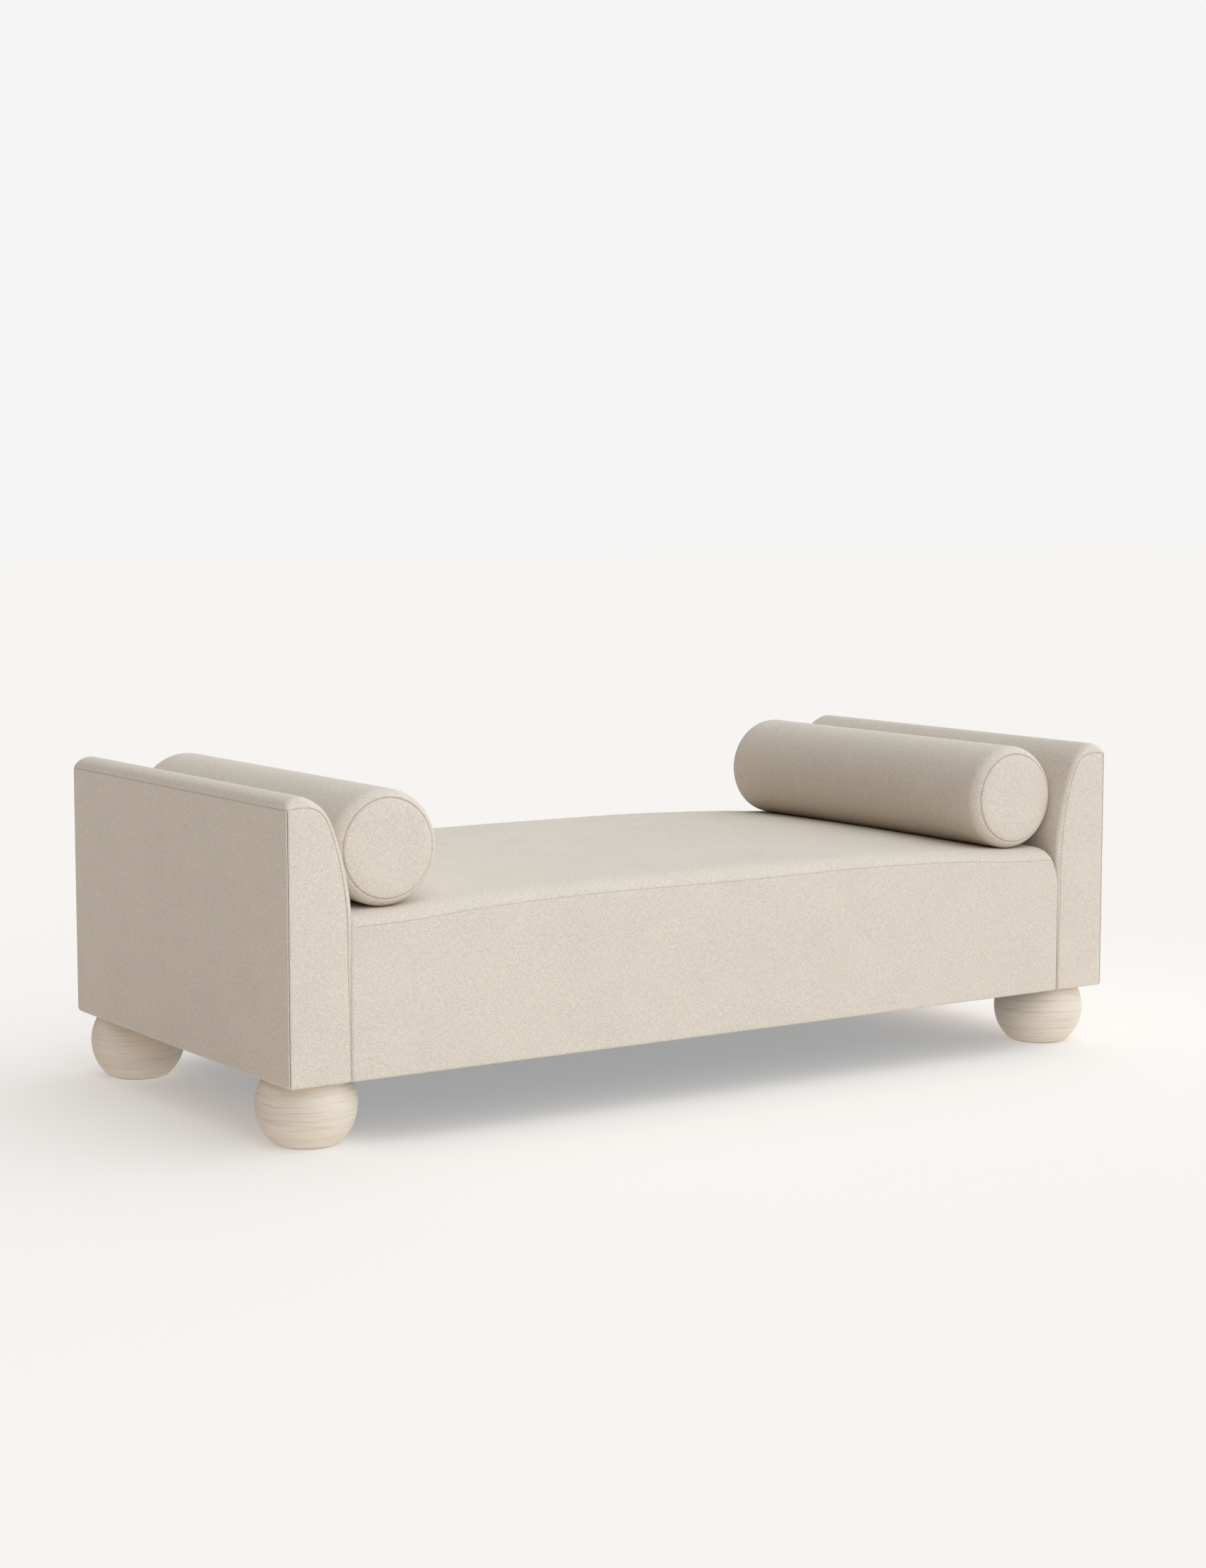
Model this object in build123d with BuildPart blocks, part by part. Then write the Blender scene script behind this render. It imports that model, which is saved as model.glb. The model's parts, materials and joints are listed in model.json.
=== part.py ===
from build123d import *
import math
import os

# Daybed: an upholstered seat between two upholstered arms, on four ball feet, with two loose bolsters.
# Millimetres. Origin on the floor at the middle of the footprint. +X runs along the length to the right
# arm, -Y is the front, +Z is up.

# ---- overall ----
LENGTH = 2032.0  # between the outer faces of the arms
DEPTH = 972.0
BASE_Z = 129.5  # underside of the upholstered body

# ---- cloth and padding ----
CLOTH = 1.5  # cover cloth with its backing
WADDING = 8.0  # over the seat foam
ARM_PAD = 12.0  # foam round an arm's frame
SOFT_GAP = 0.3  # between soft pieces of different bodies

# ---- arms, in section: u is measured in from the outer face, z up ----
ARM_WIDTH = 131.0
ARM_SEAM_Z = 648.4  # seam along the top of the end panel
# the roll over the arm: radius of each arc and its direction where it ends, in degrees above level,
# starting straight up at the seam; one more arc, as large as the width leaves, ends straight down
ROLL_ARCS = [(21.2, 20.4), (52.1, -20.0), (73.9, -70.9)]
ARM_EDGE_R = 9.0  # rounding between the band and the gussets
ARM_SEAM_DROP = 10.0  # the outer board stops this far below the seam
SKIN = 5.0  # outer board and bent skin board
ARM_BOARD = 18.0
TOP_RAIL_W = 42.0
TOP_RAIL_H = 40.0
TOP_RAIL_DROP = 18.0  # from the end panel's seam to the top of the rail
FIXING_RAIL_W = 25.0
FIXING_RAIL_H = 60.0
BASE_RAIL_H = 22.0

# ---- seat ----
SEAT_SEAM_Z = 440.0  # front and back seams
SEAT_CROWN = 34.0  # the middle of the top stands this far above the seams
SEAT_END_RISE = 6.9  # and the top under the bolsters this far
SEAT_LEVEL_X = 185.0  # length of the level stretch beside each arm
RAIL_T = 25.0
RAIL_TOP_Z = 290.0
CROSS_RAIL_DROP = 40.0  # cross rails stay this far below the other rails' tops
CROSS_RAIL_PITCH = 450.0
BLOCK_LEG = 70.0
BLOCK_H = 60.0
DUST_COVER = 1.0
HESSIAN = 2.0

# ---- springs ----
SPRING_PITCH = 240.0
SPRING_END_SPACE = 60.0  # least distance from the middle of a spring to an end rail
SPRING_WIRE_R = 1.9
SPRING_HALF_WIDTH = 28.0
SPRING_LOOP = 90.0  # two runs, there and back, measured along the depth
SPRING_BEND_R = 18.0
SPRING_DROP = 8.0  # wire centre below the rails' tops
CLIP_LENGTH = 20.0
CLIP_SIZE = 12.0
WIRE_GAP = 0.1

# ---- fasteners ----
BOLT_R = 4.0
BOLT_HOLE_GAP = 0.5
THREAD_GAP = 0.1
BOLT_HEAD_R = 8.0
BOLT_HEAD_H = 5.0
BOLT_END = 8.0  # a bolt stands this far out of its rail, through the nut
NUT_R = 10.0
NUT_H = 6.0
ARM_BOLT_Z = 230.0
ARM_BOLT_PITCH = 300.0
ARM_BOLT_COUNT = 3
FOOT_BOLT_DEPTH = 48.0
FOOT_BORE_SPARE = 2.0

# ---- feet ----
FOOT_R = 97.8
FOOT_CENTRE_Z = 76.4
FOOT_BOLT_EDGE = 22.4  # from a foot's bolt to the inner edge of the arm's base rail
FOOT_INSET_Y = 106.4
GLIDE_INSET = 5.4782  # from the edge of the foot's lower flat
GLIDE_T = 2.0

# ---- bolsters ----
BOLSTER_R = 112.3
BOLSTER_END_GAP = 31.2  # from a bolster's end to the front or back of the seat
BOLSTER_SHOULDER_R = 31.6
BOLSTER_SEAM_INSET = 15.7  # the seam of an end disc is this much smaller than the tube
BOLSTER_ARM_GAP = 4.5  # nearest approach to the arm
ZIP_INSET = 134.8  # from a bolster's end to the end of its zip
ZIP_WIDTH = 24.0
ZIP_ANGLE = 45.0  # below level, on the side towards the arm
SLIDER_LENGTH = 14.0
SLIDER_WIDTH = 9.0
SLIDER_T = 4.0
SLIDER_END = 8.0  # from the end of the zip to the closed slider

# ---- worked out ----
HALF_LENGTH = LENGTH / 2
HALF_DEPTH = DEPTH / 2
SEAT_HALF = HALF_LENGTH - ARM_WIDTH
ARM_FRAME = CLOTH + ARM_PAD  # inset of the arm's boards
ARM_TIMBER = ARM_FRAME + SKIN  # inset of the timber inside the boards
ARM_BOARD_Y = HALF_DEPTH - ARM_FRAME  # outer face of a profile board
ARM_RAIL_Y = ARM_BOARD_Y - ARM_BOARD  # ends of the arm's rails
SEAT_PAD = CLOTH + WADDING
RAIL_Y = HALF_DEPTH - SEAT_PAD  # outer face of the front and back rails
RAIL_INNER_Y = RAIL_Y - RAIL_T
FRAME_Z = BASE_Z + DUST_COVER
FOOT_X = SEAT_HALF + ARM_TIMBER + FOOT_BOLT_EDGE
FOOT_Y = HALF_DEPTH - FOOT_INSET_Y
SEAT_CROWN_Z = SEAT_SEAM_Z + SEAT_CROWN
SEAT_END_Z = SEAT_SEAM_Z + SEAT_END_RISE
CROSS_RAIL_COUNT = int(2 * SEAT_HALF / CROSS_RAIL_PITCH)
SPRING_COUNT = 1 + int(2 * (SEAT_HALF - RAIL_T - SPRING_END_SPACE) / SPRING_PITCH)
BOLSTER_LENGTH = DEPTH - 2 * BOLSTER_END_GAP
BOLSTER_SEAM_R = BOLSTER_R - BOLSTER_SEAM_INSET
BOLSTER_Z = SEAT_END_Z + SOFT_GAP + BOLSTER_R
ZIP_LENGTH = BOLSTER_LENGTH - 2 * ZIP_INSET

FOOT_PLACES = [("front_left", -FOOT_X, -FOOT_Y), ("front_right", FOOT_X, -FOOT_Y),
               ("back_left", -FOOT_X, FOOT_Y), ("back_right", FOOT_X, FOOT_Y)]
ARM_BOLT_YS = [(i - (ARM_BOLT_COUNT - 1) / 2) * ARM_BOLT_PITCH for i in range(ARM_BOLT_COUNT)]

os.makedirs("parts", exist_ok=True)


def save(part, name):
    """Label a finished piece and write it under its node's name."""
    part.label = name
    export_step(part, f"parts/{name}.step")


def save_pair(part, name):
    """Write a piece of the left side and its mirror image on the right."""
    save(part, f"left_{name}")
    save(mirror(part, about=Plane.YZ), f"right_{name}")


def block(x0, x1, y0, y1, z0, z1):
    """A plain box between two corners, for timber and for trimming."""
    with BuildPart() as box:
        with BuildSketch(Plane.XY.offset(z0)):
            with Locations(((x0 + x1) / 2, (y0 + y1) / 2)):
                Rectangle(x1 - x0, y1 - y0)
        extrude(amount=z1 - z0)
    return box.part


# ---- arms ----
def arm_arcs(inset):
    """Start, middle and end of each arc from the end panel's seam to the upright inner face."""
    directions = [90] + [direction for radius, direction in ROLL_ARCS] + [-90]
    sines = [math.sin(math.radians(direction)) for direction in directions]
    radii = [radius for radius, direction in ROLL_ARCS]
    across = sum(radius * (sines[i] - sines[i + 1]) for i, radius in enumerate(radii))
    radii.append((ARM_WIDTH - across) / (sines[-2] - sines[-1]))
    arcs = []
    x, z = -HALF_LENGTH, ARM_SEAM_Z
    for radius, first, last in zip(radii, directions, directions[1:]):
        towards = [math.radians(first), math.radians((first + last) / 2), math.radians(last)]
        centre_x = x + radius * math.sin(towards[0])
        centre_z = z - radius * math.cos(towards[0])
        inner = radius - inset
        arcs.append([(centre_x - inner * math.sin(t), centre_z + inner * math.cos(t)) for t in towards])
        x = centre_x - radius * math.sin(towards[2])
        z = centre_z + radius * math.cos(towards[2])
    return arcs


def arm_section(inset):
    """Section of the left arm, inset from the outside of its cover except at the base."""
    arcs = arm_arcs(inset)
    with BuildSketch() as section:
        with BuildLine():
            for arc in arcs:
                ThreePointArc(*arc)
            Polyline(arcs[-1][2], (arcs[-1][2][0], BASE_Z), (arcs[0][0][0], BASE_Z), arcs[0][0])
        make_face()
    return section.sketch


def arm_solid(inset, half_depth, edge):
    """The arm's section run along the depth, with the edges of its front and back rounded."""
    with BuildPart() as solid:
        with BuildSketch(Plane.XZ.offset(-half_depth)):
            add(arm_section(inset))
        extrude(amount=2 * half_depth)
        if edge:
            rims = solid.faces().filter_by(Axis.Y).edges().filter_by(lambda e: e.center().Z > BASE_Z + 1)
            fillet(rims, radius=edge)
    return solid.part


def arm_bolt_holes():
    """Clearance holes for the arm bolts of the left side, through everything they pass."""
    start = -SEAT_HALF - ARM_WIDTH / 2
    with BuildPart() as holes:
        with BuildSketch(Plane.YZ.offset(start)):
            with Locations([(y, ARM_BOLT_Z) for y in ARM_BOLT_YS]):
                Circle(BOLT_R + BOLT_HOLE_GAP)
        extrude(amount=ARM_WIDTH / 2 + RAIL_T + 1)
    return holes.part


HOLES = arm_bolt_holes()
arm_outside = arm_solid(0, HALF_DEPTH, ARM_EDGE_R)
arm_inside = arm_solid(CLOTH, HALF_DEPTH - CLOTH, ARM_EDGE_R - CLOTH)
arm_cavity = arm_solid(ARM_FRAME, ARM_BOARD_Y, 0)
arm_boards = arm_solid(ARM_TIMBER, ARM_BOARD_Y, 0)

with BuildPart() as arm_gusset:
    with BuildSketch(Plane.XZ.offset(-HALF_DEPTH)):
        add(arm_section(ARM_EDGE_R))
    extrude(amount=DEPTH)
    add(arm_inside, mode=Mode.SUBTRACT)
front_gusset = arm_gusset.part & block(-LENGTH, 0, -DEPTH, 0, 0, LENGTH)
back_gusset = arm_gusset.part & block(-LENGTH, 0, 0, DEPTH, 0, LENGTH)
save_pair(front_gusset, "arm_front_gusset")
save_pair(back_gusset, "arm_back_gusset")

end_side = block(-LENGTH, ARM_EDGE_R - HALF_LENGTH, -DEPTH, DEPTH, 0, ARM_SEAM_Z)
with BuildPart() as arm_end_panel:
    add(arm_outside)
    add(arm_inside, mode=Mode.SUBTRACT)
    add(arm_gusset.part, mode=Mode.SUBTRACT)
    add(end_side, mode=Mode.INTERSECT)
save_pair(arm_end_panel.part, "arm_end_panel")

with BuildPart() as arm_band:
    add(arm_outside)
    add(arm_inside, mode=Mode.SUBTRACT)
    add(arm_gusset.part, mode=Mode.SUBTRACT)
    add(end_side, mode=Mode.SUBTRACT)
    add(HOLES, mode=Mode.SUBTRACT)
save_pair(arm_band.part, "arm_band")

with BuildPart() as arm_foam:
    add(arm_inside)
    add(arm_cavity, mode=Mode.SUBTRACT)
    add(HOLES, mode=Mode.SUBTRACT)
save_pair(arm_foam.part, "arm_foam")

OUTER_BOARD_Z = ARM_SEAM_Z - ARM_SEAM_DROP
ARM_OUTER_X = ARM_FRAME - HALF_LENGTH
outer_board = block(ARM_OUTER_X, ARM_OUTER_X + SKIN, -ARM_BOARD_Y, ARM_BOARD_Y, BASE_Z, OUTER_BOARD_Z)
with BuildPart() as arm_outer_board:
    add(outer_board)
save_pair(arm_outer_board.part, "arm_outer_board")

with BuildPart() as arm_skin_board:
    add(arm_cavity)
    add(arm_boards, mode=Mode.SUBTRACT)
    add(outer_board, mode=Mode.SUBTRACT)
    add(HOLES, mode=Mode.SUBTRACT)
save_pair(arm_skin_board.part, "arm_skin_board")

for end, side in (("front", -1), ("back", 1)):
    near, far = sorted((side * ARM_BOARD_Y, side * ARM_RAIL_Y))
    with BuildPart() as profile_board:
        add(arm_boards)
        add(block(-LENGTH, 0, near, far, 0, LENGTH), mode=Mode.INTERSECT)
    save_pair(profile_board.part, f"arm_{end}_board")

ARM_TIMBER_X = ARM_TIMBER - HALF_LENGTH
ARM_INNER_X = -SEAT_HALF - ARM_TIMBER
TOP_RAIL_Z = ARM_SEAM_Z - TOP_RAIL_DROP
with BuildPart() as arm_top_rail:
    add(block(ARM_TIMBER_X, ARM_TIMBER_X + TOP_RAIL_W, -ARM_RAIL_Y, ARM_RAIL_Y,
              TOP_RAIL_Z - TOP_RAIL_H, TOP_RAIL_Z))
save_pair(arm_top_rail.part, "arm_top_rail")

with BuildPart() as arm_fixing_rail:
    add(block(ARM_INNER_X - FIXING_RAIL_W, ARM_INNER_X, -ARM_RAIL_Y, ARM_RAIL_Y,
              ARM_BOLT_Z - FIXING_RAIL_H / 2, ARM_BOLT_Z + FIXING_RAIL_H / 2))
    add(HOLES, mode=Mode.SUBTRACT)
save_pair(arm_fixing_rail.part, "arm_fixing_rail")

with BuildPart() as arm_base_rail:
    add(block(ARM_TIMBER_X, ARM_INNER_X, -ARM_RAIL_Y, ARM_RAIL_Y, BASE_Z, BASE_Z + BASE_RAIL_H))
    with BuildSketch(Plane.XY.offset(BASE_Z)):
        with Locations((-FOOT_X, -FOOT_Y), (-FOOT_X, FOOT_Y)):
            Circle(BOLT_R + BOLT_HOLE_GAP)
    extrude(amount=BASE_RAIL_H, mode=Mode.SUBTRACT)
save_pair(arm_base_rail.part, "arm_base_rail")


# ---- seat frame ----
with BuildPart() as front_rail:
    add(block(-SEAT_HALF, SEAT_HALF, -RAIL_Y, -RAIL_INNER_Y, FRAME_Z, RAIL_TOP_Z))
save(front_rail.part, "front_rail")

with BuildPart() as back_rail:
    add(block(-SEAT_HALF, SEAT_HALF, RAIL_INNER_Y, RAIL_Y, FRAME_Z, RAIL_TOP_Z))
save(back_rail.part, "back_rail")

with BuildPart() as end_rail:
    add(block(-SEAT_HALF, -SEAT_HALF + RAIL_T, -RAIL_INNER_Y, RAIL_INNER_Y, FRAME_Z, RAIL_TOP_Z))
    add(HOLES, mode=Mode.SUBTRACT)
save_pair(end_rail.part, "end_rail")

with BuildPart() as cross_rails:
    with BuildSketch(Plane.XY.offset(FRAME_Z)):
        with GridLocations(CROSS_RAIL_PITCH, 0, CROSS_RAIL_COUNT, 1):
            Rectangle(RAIL_T, 2 * RAIL_INNER_Y)
    extrude(amount=RAIL_TOP_Z - CROSS_RAIL_DROP - FRAME_Z)
save(cross_rails.part, "cross_rails")

CORNER_X = SEAT_HALF - RAIL_T
with BuildPart() as corner_blocks:
    for sx in (-1, 1):
        for sy in (-1, 1):
            corner = (sx * CORNER_X, sy * RAIL_INNER_Y)
            along_rail = (sx * (CORNER_X - BLOCK_LEG), sy * RAIL_INNER_Y)
            along_end = (sx * CORNER_X, sy * (RAIL_INNER_Y - BLOCK_LEG))
            with BuildSketch(Plane.XY.offset(FRAME_Z)):
                with BuildLine():
                    Polyline(corner, along_rail, along_end, close=True)
                make_face()
            extrude(amount=BLOCK_H)
save(corner_blocks.part, "corner_blocks")

with BuildPart() as dust_cover:
    add(block(-SEAT_HALF, SEAT_HALF, -RAIL_Y, RAIL_Y, BASE_Z, FRAME_Z))
save(dust_cover.part, "dust_cover")


# ---- springs ----
SPRING_Z = RAIL_TOP_Z - SPRING_DROP
SPRING_END_Y = RAIL_INNER_Y - CLIP_SIZE / 2
SPRING_RUNS = 2 * round(SPRING_END_Y / SPRING_LOOP * 2)
SPRING_STEP = 2 * SPRING_END_Y / SPRING_RUNS


def spring_points():
    """Corners of a sinuous spring: runs across the spring, joined at alternate ends."""
    points = []
    for run in range(SPRING_RUNS + 1):
        side = 1 if run % 2 else -1
        y = run * SPRING_STEP - SPRING_END_Y
        points += [(-side * SPRING_HALF_WIDTH, y), (side * SPRING_HALF_WIDTH, y)]
    return points


with BuildPart() as one_spring:
    with BuildLine(Plane.XY.offset(SPRING_Z)) as spring_path:
        FilletPolyline(*spring_points(), radius=min(SPRING_BEND_R, 0.45 * SPRING_STEP))
    with BuildSketch(Plane(origin=spring_path.line @ 0, z_dir=spring_path.line % 0)):
        Circle(SPRING_WIRE_R)
    sweep()

with BuildPart() as seat_springs:
    with GridLocations(SPRING_PITCH, 0, SPRING_COUNT, 1):
        add(one_spring.part)
save(seat_springs.part, "seat_springs")

with BuildPart() as spring_clips:
    for sy in (-1, 1):
        with BuildSketch(Plane.XY.offset(SPRING_Z - CLIP_SIZE / 2)):
            with Locations((0, sy * SPRING_END_Y)):
                with GridLocations(SPRING_PITCH, 0, SPRING_COUNT, 1):
                    Rectangle(CLIP_LENGTH, CLIP_SIZE)
        extrude(amount=CLIP_SIZE)
    with BuildSketch(Plane.YZ.offset(-SEAT_HALF)):
        with Locations((-SPRING_END_Y, SPRING_Z), (SPRING_END_Y, SPRING_Z)):
            Circle(SPRING_WIRE_R + WIRE_GAP)
    extrude(amount=2 * SEAT_HALF, mode=Mode.SUBTRACT)
save(spring_clips.part, "spring_clips")

with BuildPart() as spring_cover:
    add(block(-SEAT_HALF, SEAT_HALF, -RAIL_Y, RAIL_Y, RAIL_TOP_Z, RAIL_TOP_Z + HESSIAN))
save(spring_cover.part, "spring_cover")


# ---- seat padding and cover ----
def seat_block(inset, base):
    """The seat's crowned block, inset from its cover at the top, front and back."""
    rise_x = SEAT_HALF - SEAT_LEVEL_X
    with BuildPart() as seat:
        with BuildSketch(Plane.YZ):
            with BuildLine():
                Polyline((-HALF_DEPTH, SEAT_SEAM_Z - inset), (-HALF_DEPTH, base),
                         (HALF_DEPTH, base), (HALF_DEPTH, SEAT_SEAM_Z - inset))
                ThreePointArc((HALF_DEPTH, SEAT_SEAM_Z - inset), (0, SEAT_CROWN_Z - inset),
                              (-HALF_DEPTH, SEAT_SEAM_Z - inset))
            make_face()
        extrude(amount=SEAT_HALF, both=True)
        with BuildSketch(Plane.XZ):
            with BuildLine():
                Polyline((-rise_x, SEAT_END_Z - inset), (-SEAT_HALF, SEAT_END_Z - inset), (-SEAT_HALF, base),
                         (SEAT_HALF, base), (SEAT_HALF, SEAT_END_Z - inset), (rise_x, SEAT_END_Z - inset))
                ThreePointArc((rise_x, SEAT_END_Z - inset), (0, SEAT_CROWN_Z - inset),
                              (-rise_x, SEAT_END_Z - inset))
            make_face()
        extrude(amount=HALF_DEPTH - inset, both=True, mode=Mode.INTERSECT)
    return seat.part


with BuildPart() as seat_foam:
    add(seat_block(SEAT_PAD, RAIL_TOP_Z + HESSIAN))
save(seat_foam.part, "seat_foam")

with BuildPart() as seat_wadding:
    add(seat_block(CLOTH, BASE_Z))
    add(seat_block(SEAT_PAD, BASE_Z), mode=Mode.SUBTRACT)
save(seat_wadding.part, "seat_wadding")

PANEL_TOP_Z = SEAT_SEAM_Z - CLOTH
with BuildPart() as seat_front_panel:
    add(block(-SEAT_HALF, SEAT_HALF, -HALF_DEPTH, CLOTH - HALF_DEPTH, BASE_Z, PANEL_TOP_Z))
save(seat_front_panel.part, "seat_front_panel")

with BuildPart() as seat_back_panel:
    add(block(-SEAT_HALF, SEAT_HALF, HALF_DEPTH - CLOTH, HALF_DEPTH, BASE_Z, PANEL_TOP_Z))
save(seat_back_panel.part, "seat_back_panel")

with BuildPart() as seat_top_panel:
    add(seat_block(0, BASE_Z))
    add(seat_block(CLOTH, BASE_Z), mode=Mode.SUBTRACT)
    add(seat_front_panel.part, mode=Mode.SUBTRACT)
    add(seat_back_panel.part, mode=Mode.SUBTRACT)
save(seat_top_panel.part, "seat_top_panel")


# ---- feet ----
def ball_radius(z):
    """Radius of a foot's ball at a height."""
    return math.sqrt(FOOT_R**2 - (z - FOOT_CENTRE_Z)**2)


def foot(x, y):
    """A ball cut flat on its glide and under the arm, bored for its hanger bolt."""
    with BuildPart() as ball:
        with BuildSketch(Plane.XZ):
            with BuildLine():
                Polyline((0, BASE_Z), (0, GLIDE_T), (ball_radius(GLIDE_T), GLIDE_T))
                ThreePointArc((ball_radius(GLIDE_T), GLIDE_T), (FOOT_R, FOOT_CENTRE_Z),
                              (ball_radius(BASE_Z), BASE_Z))
                Line((ball_radius(BASE_Z), BASE_Z), (0, BASE_Z))
            make_face()
        revolve(axis=Axis.Z)
        with BuildSketch(Plane.XY.offset(BASE_Z)):
            Circle(BOLT_R + THREAD_GAP)
        extrude(amount=-FOOT_BOLT_DEPTH - FOOT_BORE_SPARE, mode=Mode.SUBTRACT)
    return ball.part.moved(Location((x, y, 0)))


for place, foot_x, foot_y in FOOT_PLACES:
    save(foot(foot_x, foot_y), f"foot_{place}")

FOOT_XY = [(foot_x, foot_y) for place, foot_x, foot_y in FOOT_PLACES]
GLIDE_R = ball_radius(GLIDE_T) - GLIDE_INSET
with BuildPart() as foot_glides:
    with BuildSketch(Plane.XY):
        with Locations(FOOT_XY):
            Circle(GLIDE_R)
    extrude(amount=GLIDE_T)
save(foot_glides.part, "foot_glides")


# ---- fasteners ----
with BuildPart() as foot_bolts:
    with BuildSketch(Plane.XY.offset(BASE_Z - FOOT_BOLT_DEPTH)):
        with Locations(FOOT_XY):
            Circle(BOLT_R)
    extrude(amount=FOOT_BOLT_DEPTH + BASE_RAIL_H + BOLT_END)
save(foot_bolts.part, "foot_bolts")

ARM_BOLT_SITES = [(y, ARM_BOLT_Z) for y in ARM_BOLT_YS]
HEAD_X = SEAT_HALF - RAIL_T
NUT_X = SEAT_HALF + ARM_TIMBER + FIXING_RAIL_W
with BuildPart() as arm_bolts:
    for side in (-1, 1):
        with BuildSketch(Plane.YZ.offset(side * HEAD_X)):
            with Locations(ARM_BOLT_SITES):
                Circle(BOLT_HEAD_R)
        extrude(amount=-side * BOLT_HEAD_H)
        with BuildSketch(Plane.YZ.offset(side * HEAD_X)):
            with Locations(ARM_BOLT_SITES):
                Circle(BOLT_R)
        extrude(amount=side * (NUT_X + BOLT_END - HEAD_X))
save(arm_bolts.part, "arm_bolts")

with BuildPart() as tee_nuts:
    with BuildSketch(Plane.XY.offset(BASE_Z + BASE_RAIL_H)):
        with Locations(FOOT_XY):
            Circle(NUT_R)
            Circle(BOLT_R + THREAD_GAP, mode=Mode.SUBTRACT)
    extrude(amount=NUT_H)
    for side in (-1, 1):
        with BuildSketch(Plane.YZ.offset(side * NUT_X)):
            with Locations(ARM_BOLT_SITES):
                Circle(NUT_R)
                Circle(BOLT_R + THREAD_GAP, mode=Mode.SUBTRACT)
        extrude(amount=side * NUT_H)
save(tee_nuts.part, "tee_nuts")


# ---- bolsters ----
def bolster_x():
    """Centre of the left bolster, where it comes nearest to the arm's curve by the named gap."""
    reach = BOLSTER_R + BOLSTER_ARM_GAP
    centres = []
    for arc in arm_arcs(0):
        edge = ThreePointArc(*arc)
        for step in range(201):
            point = edge @ (step / 200)
            rise = abs(point.Y - BOLSTER_Z)
            if rise < reach:
                centres.append(point.X + math.sqrt(reach**2 - rise**2))
    return max(centres)


BOLSTER_X = bolster_x()
BOLSTER_HALF = BOLSTER_LENGTH / 2


def bolster_solid(inset):
    """A round bolster along Y about the origin, with rounded shoulders, inset from its cover."""
    radius = BOLSTER_R - inset
    half = BOLSTER_HALF - inset
    shoulder = BOLSTER_SHOULDER_R - inset
    with BuildPart() as bolster:
        with BuildSketch(Plane.XZ.offset(-half)):
            Circle(radius)
        extrude(amount=2 * half)
        fillet(bolster.edges().filter_by(GeomType.CIRCLE), radius=shoulder)
    return bolster.part


def zip_plane(radius):
    """A plane square to the zip's direction from the bolster's axis, at a radius from it."""
    slope = math.radians(ZIP_ANGLE)
    outward = Vector(-math.cos(slope), 0, -math.sin(slope))
    return Plane(origin=outward * radius, x_dir=(0, 1, 0), z_dir=outward)


bolster_outside = bolster_solid(0)
bolster_core = bolster_solid(CLOTH)
with BuildPart() as seam_cylinder:
    with BuildSketch(Plane.XZ.offset(-BOLSTER_LENGTH)):
        Circle(BOLSTER_SEAM_R)
    extrude(amount=2 * BOLSTER_LENGTH)
with BuildPart() as zip_slot:
    with BuildSketch(zip_plane(BOLSTER_R / 2)):
        Rectangle(ZIP_LENGTH, ZIP_WIDTH)
    extrude(amount=BOLSTER_R)

with BuildPart() as bolster_shell:
    add(bolster_outside)
    add(bolster_core, mode=Mode.SUBTRACT)

with BuildPart() as bolster_tube:
    add(bolster_shell.part)
    add(seam_cylinder.part, mode=Mode.SUBTRACT)
    add(zip_slot.part, mode=Mode.SUBTRACT)

with BuildPart() as bolster_discs:
    add(bolster_shell.part)
    add(seam_cylinder.part, mode=Mode.INTERSECT)

with BuildPart() as zip_tape:
    add(bolster_shell.part)
    add(zip_slot.part, mode=Mode.INTERSECT)

SLIDER_Y = (ZIP_LENGTH - SLIDER_LENGTH) / 2 - SLIDER_END
with BuildPart() as zip_slider:
    with BuildSketch(zip_plane(BOLSTER_R + SOFT_GAP)):
        with Locations((SLIDER_Y, 0)):
            RectangleRounded(SLIDER_LENGTH, SLIDER_WIDTH, SLIDER_WIDTH / 3)
    extrude(amount=SLIDER_T)

place_bolster = Location((BOLSTER_X, 0, BOLSTER_Z))
FRONT_HALF = block(-LENGTH, LENGTH, -DEPTH, 0, -LENGTH, LENGTH)
save_pair(bolster_core.moved(place_bolster), "bolster_core")
save_pair(bolster_tube.part.moved(place_bolster), "bolster_tube")
save_pair((bolster_discs.part & FRONT_HALF).moved(place_bolster), "bolster_front_disc")
save_pair((bolster_discs.part - FRONT_HALF).moved(place_bolster), "bolster_back_disc")
save_pair(zip_tape.part.moved(place_bolster), "bolster_zip_tape")
save_pair(zip_slider.part.moved(place_bolster), "bolster_zip_slider")
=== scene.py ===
"""Looks of the upholstered daybed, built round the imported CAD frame. Metres, +Z up, front at -Y."""
import json
import math

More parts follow.
